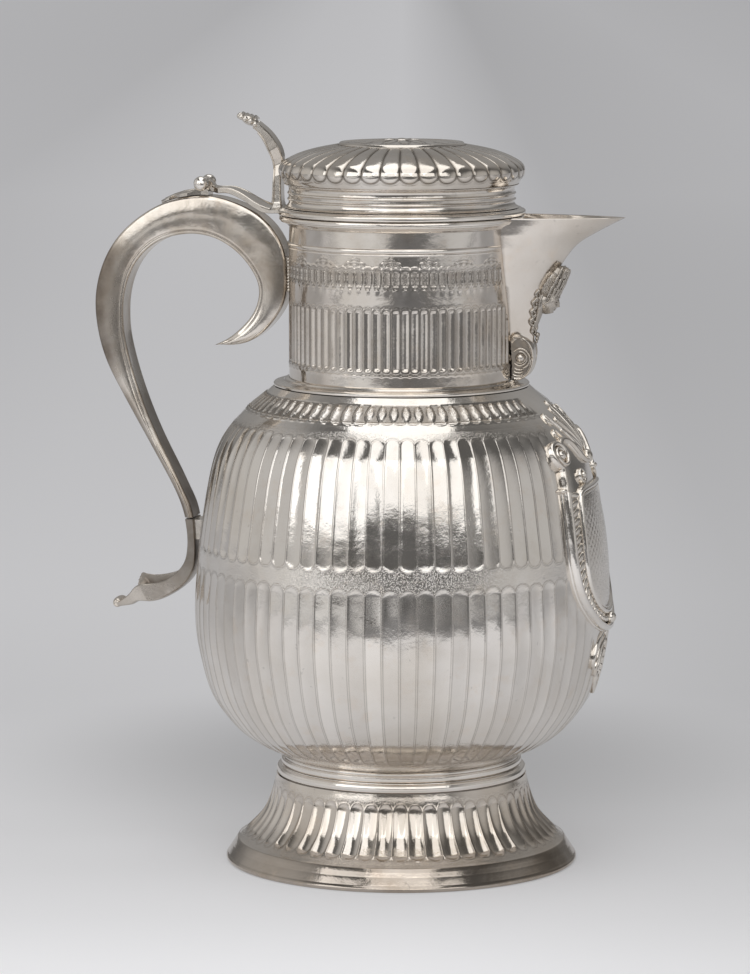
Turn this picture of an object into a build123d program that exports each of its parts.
from build123d import *
import math
import os

os.makedirs("parts", exist_ok=True)

# ---------------------------------------------------------------------------
# Lidded silver water pitcher (ewer).  Millimetres.  Origin: centre of the
# foot's resting circle.  +Z up, +X towards the spout, -X towards the handle.
# ---------------------------------------------------------------------------

# Foot
FOOT_R = 70.6            # resting radius
FOOT_BASE_H = 8.6        # height of the stepped base moulding
FOOT_TOP_Z = 34.8        # where the flare meets the collar
FOOT_WALL = 1.2
# Collar between foot and body
COLLAR_TOP_Z = 42.5
# Body
BODY_WALL = 1.1
BODY_SEAM_Z = 124.0       # plain band where the two halves of the body meet
BODY_PROFILE = [(47.6, 42.5), (51.0, 44.6), (56.0, 47.2), (61.0, 50.2), (66.2, 54.2), (70.0, 58.6),
                (75.2, 66.0), (78.5, 74.0), (80.4, 82.0), (81.9, 90.0), (82.6, 98.0), (82.6, 106.0),
                (82.1, 114.0), (81.5, 122.0), (80.7, 130.0), (79.6, 138.0), (78.3, 146.0), (76.8, 154.0),
                (74.9, 162.0), (71.7, 170.0), (65.9, 178.0), (60.6, 183.4), (56.0, 187.0), (51.0, 191.4)]
# Neck
NECK_R = 44.8
NECK_WALL = 1.3
NECK_BASE_Z = 191.4
NECK_RIM_Z = 259.3
RIM_R = 48.8
# Lid
LID_BASE_Z = 259.6
LID_BASE_R = 49.3
LID_WALL_R = 44.8
DOME_R = 49.0
DOME_SEAM_Z = 281.4
DOME_Z0 = 271.8
MEDAL_R = 25.2
LID_TOP_Z = 290.0
LID_WALL = 1.3
# Hinge
PIN_X, PIN_Z = -79.9, 271.0
PIN_R = 1.2
BORE_R = 1.25
KNUCKLE_R = 2.4
BALL_R = 2.95
BALL_Y = 7.5
# Handle
HANDLE_W = 15.4
HANDLE_SHEET = 1.2
# Spout
SPOUT_WALL = 1.2
SPOUT_TIP_X = 90.2


def offset_profile(points, distance):
    """Points of a profile moved to the left of its travel direction."""
    out = []
    for i, (x, z) in enumerate(points):
        x0, z0 = points[max(i - 1, 0)]
        x1, z1 = points[min(i + 1, len(points) - 1)]
        dx, dz = x1 - x0, z1 - z0
        n = math.hypot(dx, dz)
        out.append((x - dz / n * distance, z + dx / n * distance))
    return out


def finish(builder, name):
    builder.part.label = name
    export_step(builder.part, "parts/" + name + ".step")


# --- Foot ------------------------------------------------------------------

with BuildPart() as foot_base_moulding:
    # Stepped wire moulding soldered round the foot's edge.
    with BuildSketch(Plane.XZ):
        Polygon((66.0, 0.0), (70.2, 0.0), (FOOT_R, 0.9), (70.4, 1.8), (69.1, 2.2), (68.9, 3.7), (68.3, 4.1),
                (68.0, 5.3), (67.5, 5.7), (67.2, 6.9), (66.6, 7.4), (66.0, FOOT_BASE_H), (64.3, FOOT_BASE_H),
                (65.2, 5.5), (66.0, 2.0), align=None)
    revolve(axis=Axis.Z)
finish(foot_base_moulding, "foot_base_moulding")

foot_outer = [(65.0, 8.9), (62.8, 10.7), (60.4, 13.0), (57.4, 16.2), (55.0, 19.6), (53.2, 23.4), (51.9, 27.4),
              (51.0, 31.2), (50.2, FOOT_TOP_Z)]
foot_inner = offset_profile(foot_outer, FOOT_WALL)
with BuildPart() as foot_flare:
    with BuildSketch(Plane.XZ):
        with BuildLine():
            outer = Spline(*foot_outer)
            inner = Spline(*foot_inner)
            Line(outer @ 0, inner @ 0)
            Line(outer @ 1, inner @ 1)
        make_face()
    revolve(axis=Axis.Z)
    with BuildSketch(Plane.XY.offset(FOOT_BASE_H)):
        Circle(66.0)
    extrude(amount=-4.0, mode=Mode.SUBTRACT)
finish(foot_flare, "foot_flare")

with BuildPart() as foot_collar_lower:
    with BuildSketch(Plane.XZ):
        Polygon((46.4, 34.85), (49.6, 34.85), (50.2, 35.6), (50.2, 37.6), (49.6, 38.3), (48.2, 38.75), (46.4, 38.75),
                align=None)
    revolve(axis=Axis.Z)
finish(foot_collar_lower, "foot_collar_lower")

with BuildPart() as foot_collar_upper:
    with BuildSketch(Plane.XZ):
        Polygon((46.4, 38.8), (47.9, 38.8), (48.4, 39.6), (48.4, 41.4), (47.9, 42.0), (47.5, 42.45), (46.4, 42.45),
                align=None)
    revolve(axis=Axis.Z)
finish(foot_collar_upper, "foot_collar_upper")

# --- Body ------------------------------------------------------------------

body_inner = offset_profile(BODY_PROFILE, BODY_WALL)
body_inner[0] = (46.8, 44.1)
body_inner[-1] = (49.8, 190.6)
with BuildPart() as body_whole:
    # Raised globular body with a closed floor; its shoulder opening takes the neck tube.
    with BuildSketch(Plane.XZ):
        with BuildLine():
            outer = Spline(*BODY_PROFILE)
            inner = Spline(*body_inner)
            Polyline(outer @ 0, (0, 42.5), (0, 43.7), (42.0, 43.7), inner @ 0)
            Polyline(outer @ 1, (44.9, 191.4), (44.9, 190.2), inner @ 1)
        make_face()
    revolve(axis=Axis.Z)
with BuildPart() as body_lower_shell:
    # Bowl up to the plain band at mid height.
    add(body_whole.part)
    split(bisect_by=Plane.XY.offset(BODY_SEAM_Z), keep=Keep.BOTTOM)
finish(body_lower_shell, "body_lower_shell")

with BuildPart() as body_upper_shell:
    # Shoulder half, soldered to the bowl along the plain band.
    add(body_whole.part)
    split(bisect_by=Plane.XY.offset(BODY_SEAM_Z), keep=Keep.TOP)
finish(body_upper_shell, "body_upper_shell")

# --- Neck ------------------------------------------------------------------

with BuildPart() as neck_base_ring:
    with BuildSketch(Plane.XZ):
        Polygon((44.85, 191.45), (50.6, 191.45), (51.1, 192.1), (50.9, 192.9), (49.6, 193.3), (47.4, 193.6),
                (46.6, 194.4), (44.85, 194.8), align=None)
    revolve(axis=Axis.Z)
finish(neck_base_ring, "neck_base_ring")

with BuildPart() as neck_tube:
    # Cylindrical neck, cut away behind the spout so that the pitcher can pour.
    with BuildSketch(Plane.XZ):
        Polygon((NECK_R - NECK_WALL, 190.0), (NECK_R, 190.0), (NECK_R, 255.0), (NECK_R - NECK_WALL, 255.0), align=None)
    revolve(axis=Axis.Z)
    with BuildSketch(Plane.YZ):
        with BuildLine():
            Polyline((-3.0, 218.0), (-9.5, 238.0), (-9.5, 250.0), (9.5, 250.0), (9.5, 238.0), (3.0, 218.0), (-3.0, 218.0))
        make_face()
    extrude(amount=60.0, mode=Mode.SUBTRACT)
finish(neck_tube, "neck_tube")

with BuildPart() as neck_wire_ring:
    # Fine half-round wire under the rim, stopping either side of the spout.
    with BuildSketch(Plane.XZ):
        Polygon((NECK_R + 0.02, 246.9), (NECK_R + 0.55, 247.2), (NECK_R + 0.75, 247.9), (NECK_R + 0.55, 248.6),
                (NECK_R + 0.02, 248.9), align=None)
    revolve(axis=Axis.Z)
    with Locations((50.0, 0.0, 248.0)):
        Box(40.0, 32.0, 6.0, mode=Mode.SUBTRACT)
finish(neck_wire_ring, "neck_wire_ring")

with BuildPart() as neck_rim_moulding:
    with BuildSketch(Plane.XZ):
        Polygon((NECK_R - NECK_WALL, 255.05), (NECK_R + 0.3, 255.05), (46.6, 256.6), (48.2, 257.0), (RIM_R, 257.7),
                (RIM_R, 258.8), (48.4, NECK_RIM_Z), (NECK_R - NECK_WALL, NECK_RIM_Z), align=None)
    revolve(axis=Axis.Z)
finish(neck_rim_moulding, "neck_rim_moulding")

# --- Spout -----------------------------------------------------------------
# Horizontal sections of the beak: height, reach of the keel, half-width at the neck.

SPOUT_SECTIONS = [(259.2, 89.6, 15.6), (256.6, 84.4, 15.6), (252.6, 77.0, 15.4), (247.6, 69.7, 14.8), (242.0, 65.4, 13.8),
                  (236.0, 61.4, 12.4), (226.0, 56.8, 9.8), (216.0, 54.2, 7.2), (206.5, 52.8, 5.2)]
SPOUT_BACK_X = 34.0


def spout_section(reach, half, back):
    """Closed plan of the spout: two bulged sides meeting at the keel."""
    with BuildSketch() as plan:
        with BuildLine():
            side = Bezier((back, half), (back + 0.55 * (reach - back), half * 1.05),
                          (reach - 0.5, half * 0.28), (reach, 0.0))
            other = Bezier((reach, 0.0), (reach - 0.5, -half * 0.28),
                           (back + 0.55 * (reach - back), -half * 1.05), (back, -half))
            Line(other @ 1, side @ 0)
        make_face()
    return plan.sketch_local


with BuildPart() as spout_cavity:
    for z, reach, half in [(259.7, 90.5, 15.6)] + SPOUT_SECTIONS[1:-1] + [(208.5, 53.0, 5.4)]:
        with BuildSketch(Plane.XY.offset(z)):
            add(spout_section(reach - 1.7, half - SPOUT_WALL, SPOUT_BACK_X - 2.0))
    loft(ruled=True)

with BuildPart() as spout_shell:
    for z, reach, half in SPOUT_SECTIONS:
        with BuildSketch(Plane.XY.offset(z)):
            add(spout_section(reach, half, SPOUT_BACK_X))
    loft(ruled=True)
    add(spout_cavity.part, mode=Mode.SUBTRACT)
    with BuildSketch(Plane.XY.offset(200.0)):
        Circle(NECK_R + 0.05)
    extrude(amount=55.1, mode=Mode.SUBTRACT)
    # Room for the rim moulding, which runs on behind the spout.
    with BuildSketch(Plane.XY.offset(255.0)):
        Circle(RIM_R + 0.05)
    extrude(amount=6.0, mode=Mode.SUBTRACT)
finish(spout_shell, "spout_shell")

with BuildPart() as spout_bracket:
    # Scrolled bracket under the beak, against the neck.
    with BuildSketch(Plane.XZ.offset(-4.2)):
        with BuildLine():
            Spline((44.0, 212.0), (49.0, 210.2), (52.2, 207.0), (53.6, 201.0), (53.2, 197.0), (51.0, 194.6))
            Polyline((51.0, 194.6), (44.0, 194.9), (44.0, 212.0))
        make_face()
    extrude(amount=8.4)
    with BuildSketch(Plane.XY.offset(190.0)):
        Circle(NECK_R + 0.05)
    extrude(amount=30.0, mode=Mode.SUBTRACT)
    with BuildSketch(Plane.XZ):
        Polygon((44.0, 190.0), (51.3, 190.0), (51.3, 193.1), (49.8, 193.6), (47.5, 193.9), (46.7, 194.6),
                (44.0, 195.0), align=None)
    revolve(axis=Axis.Z, mode=Mode.SUBTRACT)
    with Locations((49.2, 0.0, 212.2)):
        Box(14.0, 20.0, 11.4, mode=Mode.SUBTRACT)
finish(spout_bracket, "spout_bracket")

with BuildPart() as spout_bracket_beads:
    # A ball set in each side of the bracket's scroll.
    with Locations((48.6, -4.9, 203.4), (48.6, 4.9, 203.4)):
        Sphere(1.9)
    with Locations((49.0, 0.0, 203.4)):
        Box(20.0, 8.42, 20.0, mode=Mode.SUBTRACT)
finish(spout_bracket_beads, "spout_bracket_beads")

with BuildPart() as spout_mask:
    # Cast mask under the beak: head, swept-up headdress and hair locks.
    with Locations(Location((60.2, 0.0, 226.5), (0, 28, 0))):
        Cylinder(4.6, 9.0)
    with Locations(Location((61.8, 0.0, 235.4), (0, 24, 0))):
        Cylinder(6.6, 11.5)
    with Locations(Location((57.0, 0.0, 215.6), (0, 8, 0))):
        Cylinder(4.2, 17.0)
    add(spout_cavity.part, mode=Mode.SUBTRACT)
    with BuildSketch(Plane.XZ.offset(-20)):
        with BuildLine():
            Polyline((30.0, 206.0), (52.9, 206.5), (54.3, 216.0), (56.9, 226.0), (61.5, 236.0), (65.5, 242.0),
                     (69.8, 247.6), (30.0, 250.0), (30.0, 206.0))
        make_face()
    extrude(amount=40.0, mode=Mode.SUBTRACT)
finish(spout_mask, "spout_mask")

# --- Cartouche on the front of the body ------------------------------------


def body_skin(low, high, inner_gap, outer_gap):
    """Closed profile of a thin skin lying on the body between two heights."""
    picked = [p for p in BODY_PROFILE if low <= p[1] <= high]
    near = offset_profile(picked, -inner_gap)
    far = offset_profile(picked, -outer_gap)
    with BuildSketch() as skin:
        with BuildLine():
            Polyline(*near, *reversed(far), near[0])
        make_face()
    return skin.sketch_local


SHIELD_OUTER = [(0.0, 97.0), (12.0, 98.4), (24.0, 104.5), (31.6, 115.0), (33.8, 128.0), (33.0, 142.0), (31.6, 154.0),
                (20.0, 158.0), (0.0, 160.0)]
SHIELD_INNER = [(0.0, 102.8), (10.0, 104.2), (18.6, 109.0), (23.6, 117.0), (24.8, 128.0), (23.6, 142.0), (21.4, 150.4),
                (12.0, 152.4), (0.0, 153.6)]


def shield_outline(points, grow):
    """Closed symmetric outline in the Y-Z plane."""
    cz = 128.0
    moved = []
    for y, z in points:
        r = math.hypot(y, z - cz)
        moved.append((y * (r + grow) / r, cz + (z - cz) * (r + grow) / r))
    left = [(-y, z) for y, z in moved[1:-1]]
    ring = moved + left[::-1]
    with BuildSketch() as outline:
        with BuildLine():
            Polyline(*ring, ring[0])
        make_face()
    return outline.sketch_local


with BuildPart() as cartouche_field:
    with BuildSketch(Plane.XZ):
        add(body_skin(90.0, 170.0, 0.15, 1.0))
    revolve(axis=Axis.Z, revolution_arc=360)
    with BuildSketch(Plane.YZ):
        add(shield_outline(SHIELD_INNER, -0.1))
    extrude(amount=120.0, mode=Mode.INTERSECT)
finish(cartouche_field, "cartouche_field")

with BuildPart() as cartouche_inner_border:
    with BuildSketch(Plane.XZ):
        add(body_skin(90.0, 170.0, 0.15, 2.2))
    revolve(axis=Axis.Z)
    with BuildSketch(Plane.YZ):
        add(shield_outline(SHIELD_INNER, 2.0))
    extrude(amount=120.0, mode=Mode.INTERSECT)
    with BuildSketch(Plane.YZ):
        add(shield_outline(SHIELD_INNER, 0.0))
    extrude(amount=120.0, mode=Mode.SUBTRACT)
finish(cartouche_inner_border, "cartouche_inner_border")

with BuildPart() as cartouche_rope:
    with BuildSketch(Plane.XZ):
        add(body_skin(90.0, 170.0, 0.15, 2.0))
    revolve(axis=Axis.Z)
    with BuildSketch(Plane.YZ):
        add(shield_outline(SHIELD_OUTER, -3.0))
    extrude(amount=120.0, mode=Mode.INTERSECT)
    with BuildSketch(Plane.YZ):
        add(shield_outline(SHIELD_INNER, 2.1))
    extrude(amount=120.0, mode=Mode.SUBTRACT)
finish(cartouche_rope, "cartouche_rope")

with BuildPart() as cartouche_outer_border:
    with BuildSketch(Plane.XZ):
        add(body_skin(82.0, 178.0, 0.15, 3.2))
    revolve(axis=Axis.Z)
    with BuildSketch(Plane.YZ):
        add(shield_outline(SHIELD_OUTER, 0.0))
    extrude(amount=120.0, mode=Mode.INTERSECT)
    with BuildSketch(Plane.YZ):
        add(shield_outline(SHIELD_OUTER, -2.9))
    extrude(amount=120.0, mode=Mode.SUBTRACT)
finish(cartouche_outer_border, "cartouche_outer_border")

with BuildPart() as cartouche_volutes:
    # Scroll discs at the two upper corners.
    with BuildSketch(Plane.XZ):
        add(body_skin(146.0, 183.4, 0.35, 3.0))
    revolve(axis=Axis.Z)
    with BuildSketch(Plane.YZ):
        with Locations((-28.0, 167.4), (28.0, 167.4)):
            Circle(5.6)
    extrude(amount=120.0, mode=Mode.INTERSECT)
finish(cartouche_volutes, "cartouche_volutes")

with BuildPart() as cartouche_crest:
    # Strapwork between the shoulder and the shield.
    with BuildSketch(Plane.XZ):
        add(body_skin(146.0, 187.0, 0.6, 2.4))
    revolve(axis=Axis.Z)
    with BuildSketch(Plane.YZ):
        with BuildLine():
            Polyline((0.0, 161.0), (14.0, 160.0), (21.5, 163.0), (20.0, 171.0), (15.0, 178.0), (13.0, 184.0), (6.0, 186.0),
                     (0.0, 184.0), (-6.0, 186.0), (-13.0, 184.0), (-15.0, 178.0), (-20.0, 171.0), (-21.5, 163.0),
                     (-14.0, 160.0), (0.0, 161.0))
        make_face()
    extrude(amount=120.0, mode=Mode.INTERSECT)
finish(cartouche_crest, "cartouche_crest")

with BuildPart() as cartouche_pendant:
    # Leaf and bead drop hanging below the shield.
    with BuildSketch(Plane.XZ):
        add(body_skin(66.0, 98.0, 0.35, 2.5))
    revolve(axis=Axis.Z)
    with BuildSketch(Plane.YZ):
        with BuildLine():
            Polyline((0.0, 68.0), (5.5, 73.0), (8.0, 80.0), (13.0, 85.0), (15.5, 91.0), (9.0, 95.4), (0.0, 96.4),
                     (-9.0, 95.4), (-15.5, 91.0), (-13.0, 85.0), (-8.0, 80.0), (-5.5, 73.0), (0.0, 68.0))
        make_face()
    extrude(amount=120.0, mode=Mode.INTERSECT)
finish(cartouche_pendant, "cartouche_pendant")

# --- Handle ----------------------------------------------------------------
# Edges of the scroll in the X-Z plane, from the free curl under the neck, over
# the top and down to the joint with the cast terminal.

HANDLE_OUT = [(-74.6, 206.6), (-66.4, 206.6), (-60.0, 208.4), (-54.4, 212.4), (-49.8, 217.8), (-46.7, 223.4), (-45.6, 229.0),
              (-45.7, 239.0), (-46.6, 245.0), (-49.6, 251.4), (-53.9, 256.5), (-59.3, 260.4), (-66.1, 263.5), (-73.1, 265.5),
              (-80.2, 266.1), (-87.2, 265.4), (-94.3, 263.6), (-101.3, 260.2), (-108.4, 255.2), (-115.2, 248.2),
              (-119.9, 240.2), (-122.6, 232.2), (-123.8, 223.5), (-123.3, 215.0), (-121.4, 205.6), (-118.3, 197.1),
              (-113.4, 187.6), (-106.4, 174.9), (-98.8, 161.4), (-92.6, 150.2), (-88.6, 141.0), (-87.4, 136.6)]
HANDLE_IN = [(-75.8, 206.0), (-69.4, 209.2), (-63.7, 213.8), (-59.0, 219.6), (-57.0, 225.0), (-56.9, 230.5), (-59.4, 236.3),
             (-63.6, 241.8), (-69.4, 246.6), (-76.3, 249.8), (-83.4, 250.9), (-90.5, 250.2), (-97.4, 247.8),
             (-103.2, 243.6), (-107.6, 238.0), (-110.6, 231.0), (-112.0, 224.1), (-112.3, 217.1), (-111.9, 210.6),
             (-110.9, 205.2), (-108.9, 197.2), (-105.8, 187.4), (-101.8, 176.9), (-96.6, 165.4), (-91.2, 154.6),
             (-87.4, 146.6), (-85.0, 141.2), (-83.9, 136.6)]

side_out = offset_profile(HANDLE_OUT, HANDLE_SHEET)
side_in = offset_profile(HANDLE_IN, -HANDLE_SHEET)

with BuildPart() as handle_back_strap:
    # Outer face of the hollow scroll.
    with BuildSketch(Plane.XZ.offset(-HANDLE_W / 2)):
        with BuildLine():
            a = Spline(*HANDLE_OUT[1:])
            b = Spline(*side_out[1:])
            Line(a @ 0, b @ 0)
            Line(a @ 1, b @ 1)
        make_face()
    extrude(amount=HANDLE_W)
finish(handle_back_strap, "handle_back_strap")

with BuildPart() as handle_inner_strap:
    # Inner face of the hollow scroll.
    with BuildSketch(Plane.XZ.offset(-HANDLE_W / 2)):
        with BuildLine():
            a = Spline(*HANDLE_IN[1:])
            b = Spline(*side_in[1:])
            Line(a @ 0, b @ 0)
            Line(a @ 1, b @ 1)
        make_face()
    extrude(amount=HANDLE_W)
finish(handle_inner_strap, "handle_inner_strap")


def side_face():
    """Outline of a side plate, between the two straps."""
    with BuildSketch() as side:
        with BuildLine():
            a = Spline(*[p for p in offset_profile(HANDLE_OUT, HANDLE_SHEET + 0.02)[2:]])
            b = Spline(*[p for p in offset_profile(HANDLE_IN, -HANDLE_SHEET - 0.02)[2:]])
            Line(a @ 0, b @ 0)
            Line(a @ 1, b @ 1)
        make_face()
    return side.sketch_local


with BuildPart() as handle_side_near:
    with BuildSketch(Plane.XZ.offset(HANDLE_W / 2)):
        add(side_face())
    extrude(amount=-HANDLE_SHEET)
finish(handle_side_near, "handle_side_near")

with BuildPart() as handle_side_far:
    with BuildSketch(Plane.XZ.offset(-HANDLE_W / 2)):
        add(side_face())
    extrude(amount=HANDLE_SHEET)
finish(handle_side_far, "handle_side_far")

with BuildPart() as handle_terminal:
    # Solid cast foot of the handle, curling away from the body.
    with BuildSketch(Plane.XZ.offset(-HANDLE_W / 2)):
        with BuildLine():
            top = Spline((-87.3, 135.9), (-86.4, 129.0), (-86.9, 122.6), (-89.2, 118.0), (-93.0, 114.8), (-98.4, 112.2),
                         (-104.4, 110.4), (-109.6, 108.4), (-113.6, 105.0), (-117.6, 101.6))
            bottom = Spline((-83.8, 135.9), (-83.1, 127.0), (-83.3, 119.3), (-85.4, 113.6), (-89.6, 108.6),
                            (-95.2, 104.8), (-101.8, 102.6), (-108.4, 101.8), (-113.0, 100.4), (-117.4, 99.0))
            Line(top @ 0, bottom @ 0)
            Line(top @ 1, bottom @ 1)
        make_face()
    extrude(amount=HANDLE_W)
finish(handle_terminal, "handle_terminal")

with BuildPart() as handle_body_pad:
    # Solder saddle between terminal and body.
    with BuildSketch(Plane.XZ.offset(-5.5)):
        Polygon((-84.4, 135.8), (-84.0, 127.4), (-70.0, 127.4), (-70.0, 135.8), align=None)
    extrude(amount=11.0)
    with BuildSketch(Plane.XZ):
        with BuildLine():
            Polyline(*[(x + 0.05, z) for x, z in BODY_PROFILE if 110 < z < 150], (0.0, 146.0), (0.0, 114.0),
                     (82.15, 114.0))
        make_face()
    revolve(axis=Axis.Z, mode=Mode.SUBTRACT)
    add(handle_terminal.part, mode=Mode.SUBTRACT)
finish(handle_body_pad, "handle_body_pad")

with BuildPart() as handle_neck_pad:
    # Beaded strip between the scroll and the neck.
    with BuildSketch(Plane.XZ.offset(-5.0)):
        Polygon((-46.2, 229.2), (-40.0, 229.2), (-40.0, 238.8), (-46.2, 238.8), align=None)
    extrude(amount=10.0)
    with BuildSketch(Plane.XY.offset(225.0)):
        Circle(NECK_R + 0.03)
    extrude(amount=30.0, mode=Mode.SUBTRACT)
    add(handle_back_strap.part, mode=Mode.SUBTRACT)
finish(handle_neck_pad, "handle_neck_pad")

# --- Hinge -----------------------------------------------------------------

with BuildPart() as hinge_leaf:
    # Fixed leaf on the handle with two knuckles.
    with BuildSketch(Plane.XZ.offset(-6.2)):
        with BuildLine():
            Spline((-96.5, 263.2), (-94.3, 264.0), (-87.2, 265.75), (-80.2, 266.45), (-77.6, 266.3))
            Polyline((-77.6, 266.3), (-77.6, 268.2), (-78.6, 269.1), (-81.2, 269.1), (-83.6, 267.9), (-90.0, 266.9),
                     (-96.5, 264.2), (-96.5, 263.2))
        make_face()
    extrude(amount=12.4)
    with Locations(Location((PIN_X, 0, PIN_Z), (90, 0, 0))):
        Cylinder(KNUCKLE_R, 9.6)
    with Locations(Location((PIN_X, 0, PIN_Z), (90, 0, 0))):
        Cylinder(KNUCKLE_R + 0.5, 5.4, mode=Mode.SUBTRACT)
    with Locations((PIN_X + 1.6, 0, PIN_Z - 1.2)):
        Box(3.4, 5.4, 4.6, mode=Mode.SUBTRACT)
    with Locations(Location((PIN_X, 0, PIN_Z), (90, 0, 0))):
        Cylinder(PIN_R, 30.0, mode=Mode.SUBTRACT)
    # Seats for the two ball ends of the pin.
    with Locations((PIN_X, -BALL_Y, PIN_Z), (PIN_X, BALL_Y, PIN_Z)):
        Sphere(BALL_R + 0.02, mode=Mode.SUBTRACT)
finish(hinge_leaf, "hinge_leaf")

with BuildPart() as hinge_pin:
    with Locations(Location((PIN_X, 0, PIN_Z), (90, 0, 0))):
        Cylinder(PIN_R, 2 * BALL_Y)
finish(hinge_pin, "hinge_pin")

with BuildPart() as hinge_ball_near:
    with Locations((PIN_X, -BALL_Y, PIN_Z)):
        Sphere(BALL_R)
    with Locations((PIN_X, -BALL_Y + 4.85, PIN_Z)):
        Box(8.0, 4.4, 8.0, mode=Mode.SUBTRACT)
    with Locations(Location((PIN_X, 0, PIN_Z), (90, 0, 0))):
        Cylinder(PIN_R, 2 * BALL_Y, mode=Mode.SUBTRACT)
finish(hinge_ball_near, "hinge_ball_near")

with BuildPart() as hinge_ball_far:
    with Locations((PIN_X, BALL_Y, PIN_Z)):
        Sphere(BALL_R)
    with Locations((PIN_X, BALL_Y - 4.85, PIN_Z)):
        Box(8.0, 4.4, 8.0, mode=Mode.SUBTRACT)
    with Locations(Location((PIN_X, 0, PIN_Z), (90, 0, 0))):
        Cylinder(PIN_R, 2 * BALL_Y, mode=Mode.SUBTRACT)
finish(hinge_ball_far, "hinge_ball_far")

# --- Lid -------------------------------------------------------------------

with BuildPart() as lid_strap:
    # Moving leaf: middle knuckle and the strap over the handle to the lid's base.
    with BuildSketch(Plane.XZ.offset(-6.4)):
        with BuildLine():
            upper = Spline((-75.4, 269.3), (-70.0, 269.2), (-65.6, 268.0), (-61.0, 265.7), (-57.0, 263.3), (-53.6, 261.6),
                           (-50.0, 261.2))
            lower = Spline((-75.4, 267.3), (-70.0, 267.2), (-66.2, 266.0), (-61.7, 263.6), (-57.9, 261.2), (-54.2, 259.6),
                           (-50.0, 259.5))
            Line(upper @ 0, lower @ 0)
            Polyline(upper @ 1, (-46.0, 261.2), (-46.0, 259.5), lower @ 1)
        make_face()
    extrude(amount=12.8)
    with BuildSketch(Plane.XY.offset(255.0)):
        Circle(LID_BASE_R + 0.03)
    extrude(amount=12.0, mode=Mode.SUBTRACT)
    with BuildSketch(Plane.XZ.offset(-2.4)):
        with BuildLine():
            Polyline((PIN_X, PIN_Z + KNUCKLE_R - 0.1), (-77.2, 272.0), (-74.8, 269.3), (-74.8, 267.25), (-76.9, 267.9),
                     (PIN_X, PIN_Z - KNUCKLE_R + 0.1), (PIN_X, PIN_Z + KNUCKLE_R - 0.1))
        make_face()
    extrude(amount=4.8)
    with Locations(Location((PIN_X, 0, PIN_Z), (90, 0, 0))):
        Cylinder(KNUCKLE_R, 4.8)
    with Locations(Location((PIN_X, 0, PIN_Z), (90, 0, 0))):
        Cylinder(BORE_R, 30.0, mode=Mode.SUBTRACT)
finish(lid_strap, "lid_strap")

with BuildPart() as lid_base_ring:
    with BuildSketch(Plane.XZ):
        Polygon((42.0, LID_BASE_Z), (48.6, LID_BASE_Z), (LID_BASE_R, 260.2), (LID_BASE_R, 261.4), (48.7, 262.1),
                (47.0, 262.5), (42.0, 262.5), align=None)
    revolve(axis=Axis.Z)
finish(lid_base_ring, "lid_base_ring")

with BuildPart() as lid_bezel:
    # Tapered sleeve that drops inside the neck.
    with BuildSketch(Plane.XZ):
        Polygon((40.3, 251.0), (41.3, 251.0), (41.95, 259.6), (41.95, 262.5), (40.9, 262.5), (40.3, 256.0), align=None)
    revolve(axis=Axis.Z)
finish(lid_bezel, "lid_bezel")

with BuildPart() as lid_wall:
    with BuildSketch(Plane.XZ):
        Polygon((LID_WALL_R - LID_WALL, 262.55), (46.8, 262.55), (45.3, 263.5), (44.8, 264.6), (44.8, 265.3), (45.4, 265.7),
                (44.9, 266.2), (44.9, 267.6), (45.4, 268.1), (44.9, 268.6), (44.8, 270.4), (45.6, 271.2), (46.6, DOME_Z0),
                (LID_WALL_R - LID_WALL, DOME_Z0), align=None)
    revolve(axis=Axis.Z)
finish(lid_wall, "lid_wall")

DOME = [(46.4, DOME_Z0 + 0.05), (47.9, 273.2), (48.8, 275.2), (DOME_R, 277.4), (48.2, 279.4), (45.6, 281.4), (40.4, 283.8),
        (33.6, 285.7), (MEDAL_R + 0.4, 287.2)]
with BuildPart() as dome_whole:
    with BuildSketch(Plane.XZ):
        with BuildLine():
            a = Spline(*DOME)
            b = Spline(*offset_profile(DOME, LID_WALL))
            Line(a @ 0, b @ 0)
            Line(a @ 1, b @ 1)
        make_face()
    revolve(axis=Axis.Z)
    with BuildSketch(Plane.XY.offset(DOME_Z0)):
        Circle(60.0)
    extrude(amount=-4.0, mode=Mode.SUBTRACT)
    with BuildSketch(Plane.XY.offset(284.0)):
        Circle(MEDAL_R)
    extrude(amount=6.0, mode=Mode.SUBTRACT)
with BuildPart() as lid_dome_shoulder:
    # Rolled edge of the dome.
    add(dome_whole.part)
    split(bisect_by=Plane.XY.offset(DOME_SEAM_Z), keep=Keep.BOTTOM)
finish(lid_dome_shoulder, "lid_dome_shoulder")

with BuildPart() as lid_dome_crown:
    # Flatter upper part of the dome, around the medallion seat.
    add(dome_whole.part)
    split(bisect_by=Plane.XY.offset(DOME_SEAM_Z), keep=Keep.TOP)
finish(lid_dome_crown, "lid_dome_crown")

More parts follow.
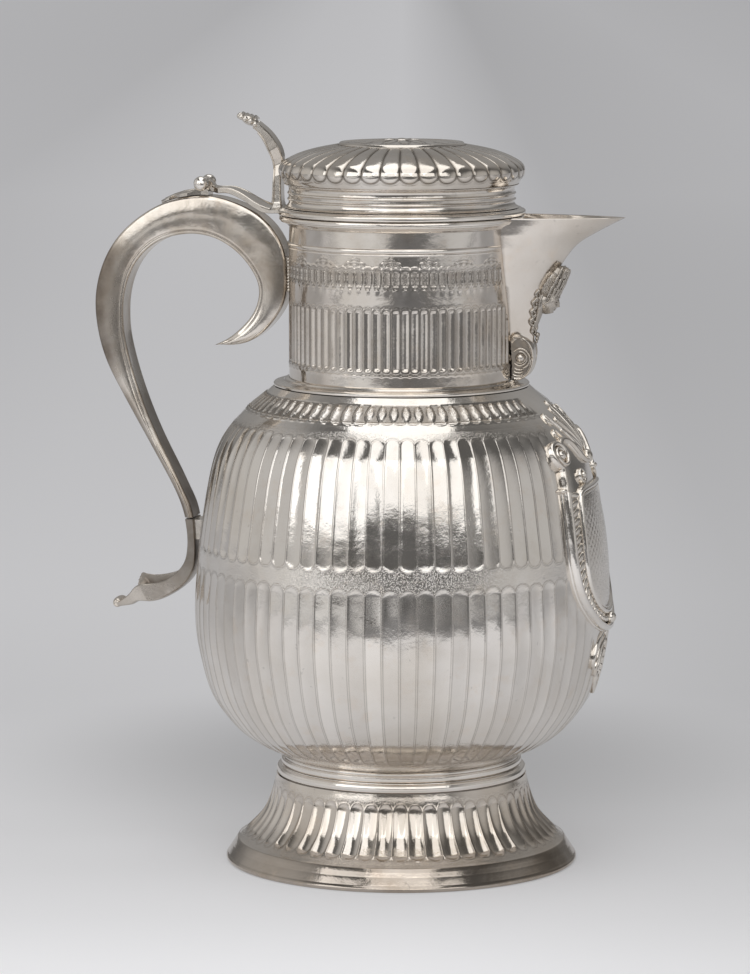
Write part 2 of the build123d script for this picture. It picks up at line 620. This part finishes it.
with BuildPart() as lid_medallion:
    # Slightly domed top plate with a raised edge and centre boss.
    with BuildSketch(Plane.XZ):
        Polygon((0.0, 286.2), (MEDAL_R - 0.1, 286.2), (MEDAL_R - 0.1, 287.6), (24.4, 288.2), (23.2, 287.9), (12.0, 288.6),
                (8.0, 289.2), (0.0, LID_TOP_Z), align=None)
    revolve(axis=Axis.Z)
finish(lid_medallion, "lid_medallion")

with BuildPart() as thumbpiece:
    # Upright from the strap, touching the dome's edge, curling outwards at its top.
    with BuildSketch(Plane.XZ.offset(-4.2)):
        with BuildLine():
            left = Spline((-52.4, 262.0), (-52.2, 268.0), (-51.9, 275.0), (-52.2, 281.2), (-53.5, 284.8), (-55.1, 288.4),
                          (-57.2, 291.2), (-59.6, 292.9))
            right = Spline((-49.6, 262.0), (-49.4, 268.0), (-49.2, 275.0), (-49.2, 281.0), (-50.2, 284.8), (-52.3, 288.6),
                           (-54.8, 292.2), (-57.7, 295.7))
            Line(left @ 0, right @ 0)
            Line(left @ 1, right @ 1)
        make_face()
    extrude(amount=8.4)
    with BuildSketch(Plane.XZ):
        Polygon((0.0, 258.0), (LID_BASE_R + 0.05, 258.0), (LID_BASE_R + 0.05, 262.6), (0.0, 262.6), align=None)
    revolve(axis=Axis.Z, mode=Mode.SUBTRACT)
    with BuildSketch(Plane.XZ):
        Polygon((0.0, 272.0), (DOME_R + 0.05, 272.0), (DOME_R + 0.05, 279.0), (0.0, 284.0), align=None)
    revolve(axis=Axis.Z, mode=Mode.SUBTRACT)
finish(thumbpiece, "thumbpiece")

with BuildPart() as thumbpiece_tip:
    # Cast beaded tip of the thumbpiece.
    with BuildSketch(Plane.XZ.offset(-5.6)):
        with BuildLine():
            under = Spline((-59.7, 293.0), (-62.4, 294.4), (-65.0, 295.6))
            over = Spline((-57.8, 295.8), (-60.6, 298.0), (-63.6, 298.9))
            Line(under @ 0, over @ 0)
            Polyline(under @ 1, (-65.6, 297.4), over @ 1)
        make_face()
    extrude(amount=11.2)
finish(thumbpiece_tip, "thumbpiece_tip")
